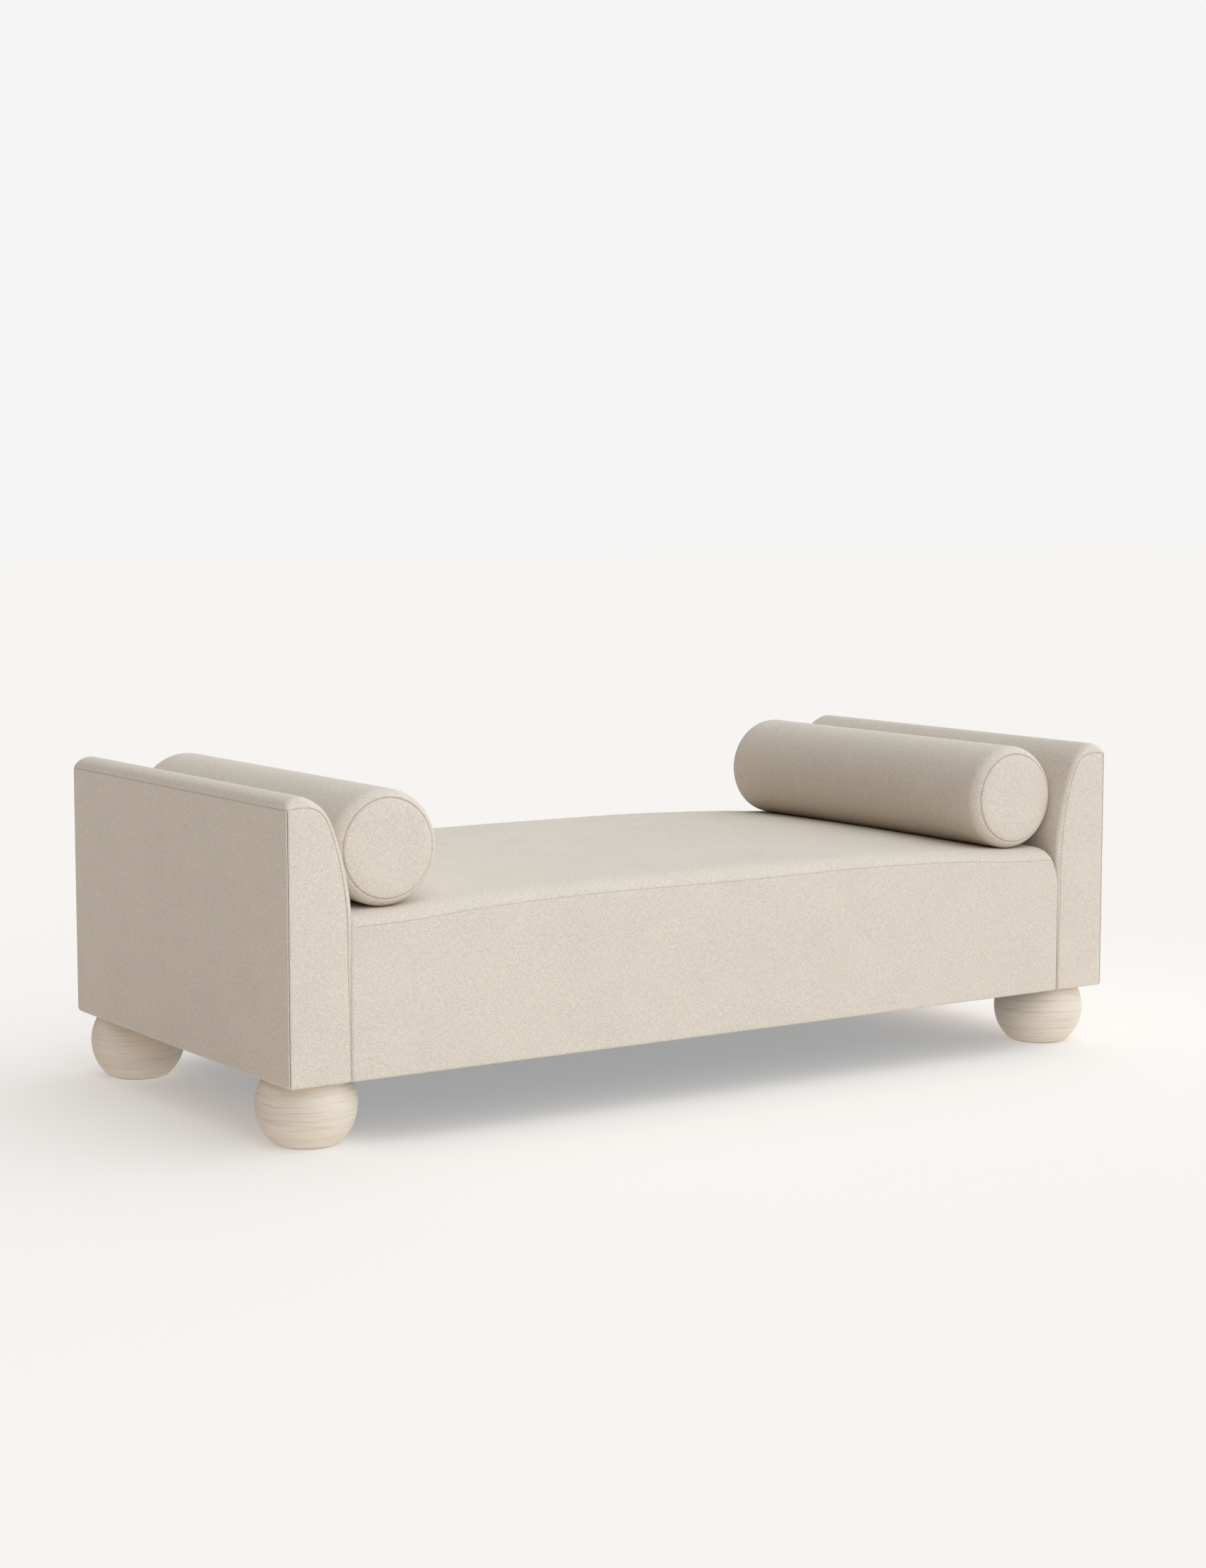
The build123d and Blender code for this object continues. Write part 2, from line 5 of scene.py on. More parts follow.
import bmesh
import bpy
import numpy as np
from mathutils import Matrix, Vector


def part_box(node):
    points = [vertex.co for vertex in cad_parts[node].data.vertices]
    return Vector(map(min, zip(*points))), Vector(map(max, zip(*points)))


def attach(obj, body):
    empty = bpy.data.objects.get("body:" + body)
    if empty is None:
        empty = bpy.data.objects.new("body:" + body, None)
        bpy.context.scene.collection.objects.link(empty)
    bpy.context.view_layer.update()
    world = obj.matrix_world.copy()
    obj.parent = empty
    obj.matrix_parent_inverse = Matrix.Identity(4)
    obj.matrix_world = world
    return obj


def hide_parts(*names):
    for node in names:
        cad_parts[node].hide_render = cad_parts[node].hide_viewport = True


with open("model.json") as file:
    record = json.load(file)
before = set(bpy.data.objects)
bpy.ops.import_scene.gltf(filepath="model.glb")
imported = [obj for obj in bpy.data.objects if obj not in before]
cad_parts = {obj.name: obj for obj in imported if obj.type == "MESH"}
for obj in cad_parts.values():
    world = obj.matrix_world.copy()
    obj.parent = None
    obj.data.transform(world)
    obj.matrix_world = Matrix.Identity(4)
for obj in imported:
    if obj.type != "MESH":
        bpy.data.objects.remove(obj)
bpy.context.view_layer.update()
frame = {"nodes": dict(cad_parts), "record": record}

# ---- places taken from the frame ----
END_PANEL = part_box("left_arm_end_panel")
ARM_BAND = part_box("left_arm_band")
SEAT_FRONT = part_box("seat_front_panel")
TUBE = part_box("left_bolster_tube")
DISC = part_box("left_bolster_front_disc")
HALF_LENGTH = -END_PANEL[0][0]
HALF_DEPTH = -END_PANEL[0][1]
BASE_Z = END_PANEL[0][2]
ARM_SEAM_Z = END_PANEL[1][2]
CREST_Z = ARM_BAND[1][2]
SEAT_HALF = SEAT_FRONT[1][0]
BOLSTER_X = -(TUBE[0][0] + TUBE[1][0]) / 2
BOLSTER_Z = (TUBE[0][2] + TUBE[1][2]) / 2
BOLSTER_R = (TUBE[1][2] - TUBE[0][2]) / 2
BOLSTER_HALF = -DISC[0][1]
BOLSTER_SEAM_R = (DISC[1][2] - DISC[0][2]) / 2

# ---- seams and cloth ----
CLOTH = 0.0015
# how deep and how wide each kind of seam draws the cloth in
TOP_SEAM = (0.0019, 0.0011)
CORNER_SEAM = (0.0042, 0.0011)
ROLL_SEAM = (0.0021, 0.0011)
SEAT_SEAM = (0.0010, 0.0010)
DISC_SEAM = (0.0090, 0.0014)
TURN_UNDER = 0.018  # cloth carried under the base
HEM_DROP = 0.0008  # the turned-under cloth lies this far below the base
EDGE_ROWS = (0.0, 0.0006, 0.0012, 0.0021, 0.0035, 0.006, 0.010, 0.016)  # distances from a seam

# ---- the arm in section: (in from the outer face, below the crest), outside of the band ----
ROLL = [(0.0, 0.0231), (0.0042, 0.0112), (0.0160, 0.0030), (0.0350, 0.0000), (0.0610, 0.0101),
        (0.0832, 0.0290), (0.0977, 0.0551), (0.1122, 0.0987), (0.1268, 0.1572), (0.1340, 0.1985),
        (0.1363, 0.2415), (0.1340, 0.3015), (0.1313, 0.4145), (0.1307, 0.5215)]
# the seam that joins the band to a gusset, point for point with the roll
GUSSET_SEAM = [(0.0035, 0.0222), (0.0150, 0.0215), (0.0255, 0.0209), (0.0400, 0.0209), (0.0580, 0.0246),
               (0.0755, 0.0358), (0.0890, 0.0595), (0.1030, 0.1015), (0.1170, 0.1635), (0.1225, 0.2055),
               (0.1254, 0.2465), (0.1258, 0.3115), (0.1277, 0.4145), (0.1287, 0.5215)]
ROUND_OVER = [0.0045, 0.016, 0.021, 0.022, 0.019, 0.015, 0.012, 0.010, 0.010, 0.009,
              0.009, 0.008, 0.005, 0.003]
ROLL_FINE = (0.0195, 0.168, 0.0035)  # the rows round the crest: first, end and pitch along the section
ROLL_COARSE_FROM = 0.17  # and below them down the inner face
ROLL_COARSE_ROWS = 24
CORNER_R = 0.0035  # outer upright corners
HEM_R = 0.005  # bottom edges
BACK_CORNER_R = 0.012  # the arms' lower back corners are rounder
BACK_CORNER_START = 0.7  # share of the half depth at which that rounding starts to grow
ARM_COLUMNS = 24  # places along the straight part of an arm's depth, its ends included
GUSSET_SIDE = 0.5  # about the height of a gusset, which turns distances into shares of it
GUSSET_PITCH = 0.05  # of the rows up the gusset, as a share of that height
GUSSET_TOP_ROWS = 30
GUSSET_COLUMNS = 16
GUSSET_NARROW = 2.6  # where a row is shorter than this many edge stretches, they shrink
GUSSET_SPLIT = 0.085  # in from the outer face, where the gusset's inner edge takes over from its top
GUSSET_FULL = 0.0012  # the gussets stand this full inside their seams
GUSSET_FULL_RUN = 0.012
ARM_FOAM_GAP = 0.0012  # between an arm's cloth and its foam

# ---- the seat ----
SEAM_HEIGHTS = [(0.0, 0.4403), (0.445, 0.4400), (0.484, 0.4388), (0.553, 0.4369), (0.585, 0.4354),
                (0.650, 0.4316), (0.713, 0.4262), (0.775, 0.4230), (0.852, 0.4215), (0.885, 0.4210)]
# how far the top rises in the roll beside the front and back seams
SEAT_ROLL = [(0.0, 0.0260), (0.383, 0.0225), (0.592, 0.0215), (0.782, 0.0235), (0.885, 0.0235)]
SEAT_ROLL_DEPTH = 0.048
SEAT_CROWN = 0.008
# the seat's top corners fall away beside the arms, more at the right: run and fall
SEAT_LEFT_END = (0.012, 0.020)
SEAT_RIGHT_END = (0.033, 0.091)
SEAT_END_R = 0.007
SEAT_TURNS = np.radians([12, 24, 36, 47, 57, 66, 74, 81, 86, 90])  # columns over each end
SEAT_COLUMNS = 53  # and between the ends
SEAT_DEPTH_ROWS = [0.0, 0.0002, 0.0006, 0.0013, 0.0024, 0.004, 0.0065, 0.010, 0.015, 0.021, 0.028, 0.036,
                   0.045]  # distances of the top's rows from its front and back seams
SEAT_MIDDLE_ROWS = 27
FRONT_HEIGHT = 0.3  # about the height of the front panel, which turns distances into shares of it
FRONT_PITCH = 0.07
SEAM_PULL = 0.8  # share of a seat seam's groove that goes inward
SEAM_DIP = 0.3  # and the share that goes down
BOLSTER_CLEAR = 0.0005
DENT_END = 0.012  # the dent under a bolster ends this far short of the bolster's own end
DENT_FADE = 0.006
DENT_SOFT = 0.003
WADDING_GAP = 0.001  # between the cover cloth and the wadding
WADDING = 0.006
FOAM_INSET = 0.008  # from the cover cloth to the foam

# ---- bolsters ----
SHOULDER_R = 0.0316
DISC_DOME = 0.0055
DISC_FLATNESS = 8  # the power of the disc's dome
BOLSTER_SEGMENTS = 144
SHOULDER_EDGE = (0.0, 0.0005, 0.001, 0.0015, 0.002, 0.0026, 0.0034)  # distances from the disc's seam
SHOULDER_ROWS = 24
TUBE_ROWS = 12  # from the shoulder to half way along
DISC_RINGS = SHOULDER_EDGE + (0.0045, 0.007, 0.011, 0.017, 0.026, 0.040, 0.058, 0.078)
CORE_GAP = 0.0035
CORE_LENGTH = 0.992  # share of the cover's length


# ---------------------------------------------------------------- mesh helpers
def chords(points):
    """Distance of each point along the chords from the first."""
    return np.r_[0, np.cumsum(np.linalg.norm(np.diff(points, axis=0), axis=1))]


def spline(points, knots, places):
    """Points at the given places on a natural cubic spline that meets the given points at its knots."""
    n = len(points)
    step = np.diff(knots)
    system = np.eye(n)
    known = np.zeros_like(points)
    for i in range(1, n - 1):
        system[i, i - 1:i + 2] = step[i - 1], 2 * (step[i - 1] + step[i]), step[i]
        known[i] = 6 * ((points[i + 1] - points[i]) / step[i] - (points[i] - points[i - 1]) / step[i - 1])
    bend = np.linalg.solve(system, known)
    i = np.clip(np.searchsorted(knots, places, side="right") - 1, 0, n - 2)
    a = ((knots[i + 1] - places) / step[i])[:, None]
    b = 1 - a
    h = (step[i] ** 2)[:, None] / 6
    return a * points[i] + b * points[i + 1] + ((a**3 - a) * bend[i] + (b**3 - b) * bend[i + 1]) * h


def eased(x, table):
    """A smooth value between the entries of a table of (place, value)."""
    places = np.array([row[0] for row in table])
    values = np.array([row[1] for row in table])
    slopes = np.gradient(values, places)
    x = np.clip(np.abs(x), places[0], places[-1])
    i = np.clip(np.searchsorted(places, x, side="right") - 1, 0, len(places) - 2)
    run = places[i + 1] - places[i]
    t = (x - places[i]) / run
    return ((2 * t**3 - 3 * t**2 + 1) * values[i] + (t**3 - 2 * t**2 + t) * run * slopes[i]
            + (3 * t**2 - 2 * t**3) * values[i + 1] + (t**3 - t**2) * run * slopes[i + 1])


def groove(distance, seam):
    """How far the cloth is drawn in at a distance from a seam."""
    depth, width = seam
    return depth * np.exp(-(distance / width) ** 2)


def spaced(start, end, pitch, ends=EDGE_ROWS):
    """Places from start to end about a pitch apart, close together beside both ends."""
    near = [start + d for d in ends]
    far = [end - d for d in ends]
    count = max(2, int(round((far[-1] - near[-1]) / pitch)) + 1)
    return np.array(near + list(np.linspace(near[-1], far[-1], count))[1:-1] + far[::-1])


def mesh_object(name, verts, faces, uvs=None):
    """A smooth-shaded object. uvs are one (u, v) per vertex, in metres of cloth."""
    mesh = bpy.data.meshes.new(name)
    mesh.from_pydata([tuple(v) for v in verts], [], faces)
    mesh.update()
    if uvs is not None:
        layer = mesh.uv_layers.new(name="cloth")
        picked = np.array(uvs, float)[[loop.vertex_index for loop in mesh.loops]]
        layer.data.foreach_set("uv", picked.ravel())
    mesh.polygons.foreach_set("use_smooth", [True] * len(mesh.polygons))
    piece = bpy.data.objects.new(name, mesh)
    bpy.context.scene.collection.objects.link(piece)
    return piece


def grid_faces(rows, columns, closed=False):
    """Quads of a grid of vertices stored row by row."""
    faces = []
    last = columns if closed else columns - 1
    for r in range(rows - 1):
        for c in range(last):
            d = (c + 1) % columns
            faces.append((r * columns + c, r * columns + d, (r + 1) * columns + d, (r + 1) * columns + c))
    return faces


def grid_uvs(grid):
    """Cloth coordinates of a grid: metres run along its columns and along its rows."""
    across = np.linalg.norm(np.diff(grid, axis=1), axis=2)
    along = np.linalg.norm(np.diff(grid, axis=0), axis=2)
    u = np.concatenate([np.zeros((grid.shape[0], 1)), np.cumsum(across, axis=1)], axis=1)
    v = np.concatenate([np.zeros((1, grid.shape[1])), np.cumsum(along, axis=0)], axis=0)
    u = u - u[:, -1:] / 2
    middle = v[:, grid.shape[1] // 2][:, None]
    return np.stack([u, np.broadcast_to(middle, u.shape)], axis=2).reshape(-1, 2)


def block_ends(rows, columns):
    """Loops of vertices that close a grid into a block: its two sides and its base."""
    return [[r * columns for r in range(rows)], [r * columns + columns - 1 for r in range(rows)][::-1],
            list(range(columns))[::-1] + [(rows - 1) * columns + c for c in range(columns)]]


def outward(piece):
    """Make the faces of a closed piece look outward."""
    mesh = bmesh.new()
    mesh.from_mesh(piece.data)
    bmesh.ops.recalc_face_normals(mesh, faces=mesh.faces)
    mesh.to_mesh(piece.data)
    mesh.free()


def capped(piece, *loops):
    """Close a piece with a face over each loop of its vertices, and make its faces look outward."""
    mesh = bmesh.new()
    mesh.from_mesh(piece.data)
    mesh.verts.ensure_lookup_table()
    for loop in loops:
        mesh.faces.new([mesh.verts[i] for i in loop])
    bmesh.ops.recalc_face_normals(mesh, faces=mesh.faces)
    mesh.to_mesh(piece.data)
    mesh.free()


def face_out(piece, direction):
    """Make the faces of an open sheet look the given way on the whole."""
    total = sum(np.array(face.normal) * face.area for face in piece.data.polygons)
    if np.dot(total, direction) < 0:
        piece.data.flip_normals()


def thicken(piece, thickness=CLOTH):
    """Give an open sheet of cloth its thickness, inward."""
    solid = piece.modifiers.new("thickness", "SOLIDIFY")
    solid.thickness = thickness
    solid.offset = -1.0
    solid.use_even_offset = False
    depsgraph = bpy.context.evaluated_depsgraph_get()
    solid_mesh = bpy.data.meshes.new_from_object(piece.evaluated_get(depsgraph))
    piece.modifiers.clear()
    piece.data = solid_mesh


def mirrored(piece, name):
    """The same piece on the other side of the middle of the length."""
    mesh = piece.data.copy()
    flat = np.empty(len(mesh.vertices) * 3)
    mesh.vertices.foreach_get("co", flat)
    flat[0::3] *= -1
    mesh.vertices.foreach_set("co", flat)
    mesh.flip_normals()
    mesh.update()
    twin = bpy.data.objects.new(name, mesh)
    bpy.context.scene.collection.objects.link(twin)
    return twin


# ---------------------------------------------------------------- materials
def shader_nodes(name):
    """A new material with its node tree and main shader."""
    material = bpy.data.materials.new(name)
    material.use_nodes = True
    nodes = material.node_tree.nodes
    return material, nodes, material.node_tree.links, nodes["Principled BSDF"]


def noise(nodes, links, vector, scale, detail=2.0, roughness=0.5):
    """A noise texture on a coordinate."""
    texture = nodes.new("ShaderNodeTexNoise")
    texture.inputs["Scale"].default_value = scale
    texture.inputs["Detail"].default_value = detail
    texture.inputs["Roughness"].default_value = roughness
    links.new(vector, texture.inputs["Vector"])
    return texture.outputs["Fac"]


def ramp(nodes, links, value, stops):
    """Colours or greys between the stops of a value."""
    node = nodes.new("ShaderNodeValToRGB")
    while len(node.color_ramp.elements) < len(stops):
        node.color_ramp.elements.new(0.5)
    for element, (place, colour) in zip(node.color_ramp.elements, stops):
        element.position = place
        element.color = (*colour, 1) if isinstance(colour, tuple) else (colour, colour, colour, 1)
    links.new(value, node.inputs["Fac"])
    return node.outputs["Color"]


def mixed(nodes, links, factor, first, second):
    """Two colours mixed by a linked factor."""
    node = nodes.new("ShaderNodeMix")
    node.data_type = "RGBA"
    links.new(factor, node.inputs[0])
    for socket, value in ((node.inputs[6], first), (node.inputs[7], second)):
        if isinstance(value, tuple):
            socket.default_value = (*value, 1)
        else:
            links.new(value, socket)
    return node.outputs[2]


def math_node(nodes, links, operation, first, second=None):
    """One arithmetic step on numbers or links."""
    node = nodes.new("ShaderNodeMath")
    node.operation = operation
    for socket, value in zip(node.inputs, (first, second)):
        if value is None:
            continue
        if isinstance(value, (int, float)):
            socket.default_value = value
        else:
            links.new(value, socket)
    return node.outputs[0]


def stretched(nodes, links, vector, scale):
    """A coordinate stretched along its axes."""
    mapping = nodes.new("ShaderNodeMapping")
    mapping.inputs["Scale"].default_value = scale
    links.new(vector, mapping.inputs["Vector"])
    return mapping.outputs["Vector"]


def bump(nodes, links, shader, height, strength, distance):
    """Relief from a height."""
    node = nodes.new("ShaderNodeBump")
    node.inputs["Strength"].default_value = strength
    node.inputs["Distance"].default_value = distance
    links.new(height, node.inputs["Height"])
    links.new(node.outputs["Normal"], shader.inputs["Normal"])


# scales of the cloth's noises, in turns per metre
THREAD_WANDER = 160.0
YARN_ACROSS = 900.0
YARN_ALONG = 110.0
FLECK_SCALE = 980.0
CLOUD_SCALE = 9.0
FLECK_AXIS = (0.74, 0.52, 0.43)
FLECK_TURN = 0.9
# how much each adds to the cloth's tone, where warp and weft add 1 each
FLECK_TONE = 4.0
CLOUD_TONE = 0.25
WEAVE_TONE = 0.10
TONE_SUM = 6.25
# and to its relief
WEAVE_RELIEF = 0.3
FLECK_RELIEF = 1.5
CLOTH_BUMP = 0.0011


def woven(name, colour, pitch, contrast, relief):
    """Plain-woven cloth: threads over and under at a pitch in metres, with heathered yarn."""
    material, nodes, links, shader = shader_nodes(name)
    uv = nodes.new("ShaderNodeUVMap")
    uv.uv_map = "cloth"
    place = nodes.new("ShaderNodeTexCoord").outputs["Object"]
    split = nodes.new("ShaderNodeSeparateXYZ")
    wobble = noise(nodes, links, place, THREAD_WANDER, 1.0)
    shift = math_node(nodes, links, "MULTIPLY", wobble, pitch * 1.5)
    links.new(uv.outputs["UV"], split.inputs[0])
    waves = []
    for axis in (0, 1):
        moved = math_node(nodes, links, "ADD", split.outputs[axis], shift)
        turned = math_node(nodes, links, "MULTIPLY", moved, math.pi / pitch)
        waves.append(math_node(nodes, links, "SINE", turned))
    weave = math_node(nodes, links, "MULTIPLY", waves[0], waves[1])
    warp, weft = (noise(nodes, links, stretched(nodes, links, uv.outputs["UV"], (*scale, 1.0)), 1.0, 2.0, 0.6)
                  for scale in ((YARN_ACROSS, YARN_ALONG), (YARN_ALONG, YARN_ACROSS)))
    # turned, so that no flat panel lies along the noise's own lattice and all show the same flecks
    turned_place = nodes.new("ShaderNodeVectorRotate")
    turned_place.inputs["Axis"].default_value = FLECK_AXIS
    turned_place.inputs["Angle"].default_value = FLECK_TURN
    links.new(place, turned_place.inputs["Vector"])
    flecks = noise(nodes, links, turned_place.outputs[0], FLECK_SCALE, 2.0, 0.6)
    cloudy = noise(nodes, links, place, CLOUD_SCALE, 4.0, 0.6)
    threads = math_node(nodes, links, "ADD", warp, weft)
    tone = threads
    for part, weight in ((flecks, FLECK_TONE), (cloudy, CLOUD_TONE), (weave, WEAVE_TONE)):
        tone = math_node(nodes, links, "ADD", tone, math_node(nodes, links, "MULTIPLY", part, weight))
    tone = math_node(nodes, links, "MULTIPLY", tone, 1 / TONE_SUM)
    dark = tuple(c * (1 - contrast) for c in colour)
    light = tuple(min(1.0, c * (1 + contrast)) for c in colour)
    links.new(ramp(nodes, links, tone, [(0.40, dark), (0.5, colour), (0.60, light)]),
              shader.inputs["Base Color"])
    height = math_node(nodes, links, "ADD", math_node(nodes, links, "MULTIPLY", weave, WEAVE_RELIEF), threads)
    height = math_node(nodes, links, "ADD", height, math_node(nodes, links, "MULTIPLY", flecks, FLECK_RELIEF))
    bump(nodes, links, shader, height, relief, CLOTH_BUMP)
    shader.inputs["Roughness"].default_value = 0.92
    shader.inputs["Specular IOR Level"].default_value = 0.15
    shader.inputs["Sheen Weight"].default_value = 0.05
    shader.inputs["Sheen Roughness"].default_value = 0.5
    return material


GROWTH_SWAY = (0.022, 0.02)  # how far the wood's lines wander: square to the layers, and along them
SWAY_SCALE = 7.0


def timber(name, pale, deep, lie, line, roughness):
    """Wood whose growth layers lie square to one axis, drawn as fine wavy lines with a few dark flecks."""
    material, nodes, links, shader = shader_nodes(name)
    place = nodes.new("ShaderNodeTexCoord").outputs["Object"]
    drift = nodes.new("ShaderNodeTexNoise")
    drift.inputs["Scale"].default_value = SWAY_SCALE
    drift.inputs["Detail"].default_value = 3.0
    links.new(place, drift.inputs["Vector"])
    sway = stretched(nodes, links, drift.outputs["Color"],
                     tuple(GROWTH_SWAY[0] if axis == lie else GROWTH_SWAY[1] for axis in range(3)))
    moved = nodes.new("ShaderNodeVectorMath")
    moved.operation = "ADD"
    links.new(place, moved.inputs[0])
    links.new(sway, moved.inputs[1])
    grain = moved.outputs[0]

    def layers(spacing, run):
        scale = tuple(1 / spacing if axis == lie else 1 / run for axis in range(3))
        return stretched(nodes, links, grain, scale)

    fine = noise(nodes, links, layers(line, 0.06), 1.0, 3.0, 0.65)
    broad = noise(nodes, links, layers(line * 4.5, 0.22), 1.0, 2.0, 0.5)
    pores = noise(nodes, links, layers(line * 0.45, 0.009), 1.0, 2.0, 0.6)
    spots = noise(nodes, links, layers(line * 0.8, 0.014), 1.0, 1.0, 0.4)
    tone = math_node(nodes, links, "ADD", math_node(nodes, links, "MULTIPLY", fine, 0.5),
                     math_node(nodes, links, "MULTIPLY", broad, 0.35))
    tone = math_node(nodes, links, "ADD", tone, math_node(nodes, links, "MULTIPLY", pores, 0.15))
    between = tuple(0.35 * d + 0.65 * p for p, d in zip(pale, deep))
    body = ramp(nodes, links, tone, [(0.37, deep), (0.45, between), (0.56, pale)])
    fleck = ramp(nodes, links, spots, [(0.20, 0.55), (0.245, 0.0)])
    flecked = mixed(nodes, links, fleck, body, tuple(c * 0.35 for c in deep))
    links.new(flecked, shader.inputs["Base Color"])
    rough = ramp(nodes, links, fine, [(0.3, roughness + 0.08), (0.7, roughness - 0.05)])
    links.new(rough, shader.inputs["Roughness"])
    bump(nodes, links, shader, fine, 0.12, 0.0003)
    shader.inputs["Specular IOR Level"].default_value = 0.3
    return material


def fluffy(name, colour, scale, relief):
    """Foam, felt and wadding: mottled and rough."""
    material, nodes, links, shader = shader_nodes(name)
    place = nodes.new("ShaderNodeTexCoord").outputs["Object"]
    cells = noise(nodes, links, place, scale, 4.0, 0.7)
    dark = tuple(c * 0.82 for c in colour)
    links.new(ramp(nodes, links, cells, [(0.3, dark), (0.65, colour)]), shader.inputs["Base Color"])
    bump(nodes, links, shader, cells, relief, 0.0006)
    shader.inputs["Roughness"].default_value = 0.95
    shader.inputs["Specular IOR Level"].default_value = 0.1
    return material


def metal(name, colour, roughness):
    """Plated or drawn steel with fine marks and slight tarnish."""
    material, nodes, links, shader = shader_nodes(name)
    place = nodes.new("ShaderNodeTexCoord").outputs["Object"]
    marks = noise(nodes, links, place, 900.0, 3.0, 0.6)
    stain = noise(nodes, links, place, 60.0, 3.0, 0.6)
    dark = tuple(c * 0.75 for c in colour)
    links.new(ramp(nodes, links, stain, [(0.35, dark), (0.6, colour)]), shader.inputs["Base Color"])
    links.new(ramp(nodes, links, marks, [(0.3, roughness - 0.08), (0.7, roughness + 0.1)]),
              shader.inputs["Roughness"])
    bump(nodes, links, shader, marks, 0.1, 0.0001)
    shader.inputs["Metallic"].default_value = 1.0
    return material


def crossed(name, colour, pitch, relief):
    """Open cloth on a flat CAD piece, such as hessian, with its threads along X and Y."""
    material, nodes, links, shader = shader_nodes(name)
    place = nodes.new("ShaderNodeTexCoord").outputs["Object"]
    split = nodes.new("ShaderNodeSeparateXYZ")
    links.new(place, split.inputs[0])
    waves = []
    for axis in (0, 1):
        turned = math_node(nodes, links, "MULTIPLY", split.outputs[axis], math.pi / pitch)
        waves.append(math_node(nodes, links, "SINE", turned))
    weave = math_node(nodes, links, "MULTIPLY", waves[0], waves[1])
    slubs = noise(nodes, links, stretched(nodes, links, place, (600.0, 60.0, 60.0)), 1.0, 3.0)
    tone = math_node(nodes, links, "ADD", math_node(nodes, links, "MULTIPLY", weave, 0.2), slubs)
    dark = tuple(c * 0.6 for c in colour)
    links.new(ramp(nodes, links, tone, [(0.3, dark), (0.7, colour)]), shader.inputs["Base Color"])
    bump(nodes, links, shader, weave, relief, pitch * 0.3)
    shader.inputs["Roughness"].default_value = 0.95
    return material


CLOTH_COLOUR = (0.705, 0.630, 0.537)
materials = {
    "cover_cloth": woven("oatmeal_cloth", CLOTH_COLOUR, 0.0011, 0.30, 0.06),
    "pale_wood": timber("bleached_maple", (0.825, 0.735, 0.62), (0.66, 0.55, 0.435), 2, 0.0017, 0.5),
    "frame_timber": timber("frame_pine", (0.62, 0.44, 0.25), (0.42, 0.27, 0.13), 2, 0.0050, 0.6),
    "plywood": timber("birch_plywood", (0.66, 0.50, 0.31), (0.50, 0.36, 0.21), 1, 0.0016, 0.6),
    "foam": fluffy("cushion_foam", (0.86, 0.78, 0.52), 700.0, 0.4),
    "wadding": fluffy("polyester_wadding", (0.86, 0.86, 0.83), 240.0, 0.6),
    "felt": fluffy("wool_felt", (0.24, 0.19, 0.14), 900.0, 0.5),
    "hessian": crossed("hessian", (0.42, 0.29, 0.15), 0.0022, 0.5),
    "dust_cloth": crossed("black_dust_cloth", (0.03, 0.03, 0.032), 0.0012, 0.3),
    "zip_cloth": woven("zip_tape_cloth", (0.60, 0.55, 0.47), 0.0006, 0.15, 0.3),
    "spring_steel": metal("spring_steel", (0.34, 0.34, 0.35), 0.4),
    "zinc_steel": metal("zinc_plated_steel", (0.62, 0.62, 0.64), 0.35),
    "slider_metal": metal("zip_slider_metal", (0.56, 0.53, 0.48), 0.3),
}


def dress(piece, slot, body, *nodes):
    """Give a piece the material of its slot and its body, and hide the CAD nodes it stands for."""
    piece.data.materials.clear()
    piece.data.materials.append(materials[slot])
    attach(piece, body)
    if nodes:
        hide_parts(*nodes)


# ---------------------------------------------------------------- arms
roll_points = np.array([(u, CREST_Z - d) for u, d in ROLL])
knots = chords(roll_points)
roll_places = np.concatenate([EDGE_ROWS, np.arange(*ROLL_FINE),
                              np.linspace(ROLL_COARSE_FROM, knots[-1], ROLL_COARSE_ROWS)])
roll = spline(roll_points, knots, roll_places)
gusset_seam = spline(np.array([(u, CREST_Z - d) for u, d in GUSSET_SEAM]), knots, roll_places)
over = np.interp(roll_places, knots, ROUND_OVER)
TURN_STEPS = np.radians([0, 12, 24, 36, 47, 57, 66, 73, 79, 84, 88, 90])
HEM_TURNS = np.radians([0, 30, 60, 90])
LENGTHWISE = 0.045  # pitch of the rows along a straight stretch


def hem_turns(hem_z):
    """The turn of a hem: distance in from the face, height, and how upright the cloth stands there."""
    return [(HEM_R * (1 - math.sin(t)), hem_z + HEM_R * (1 - math.cos(t)), math.sin(t)) for t in HEM_TURNS]


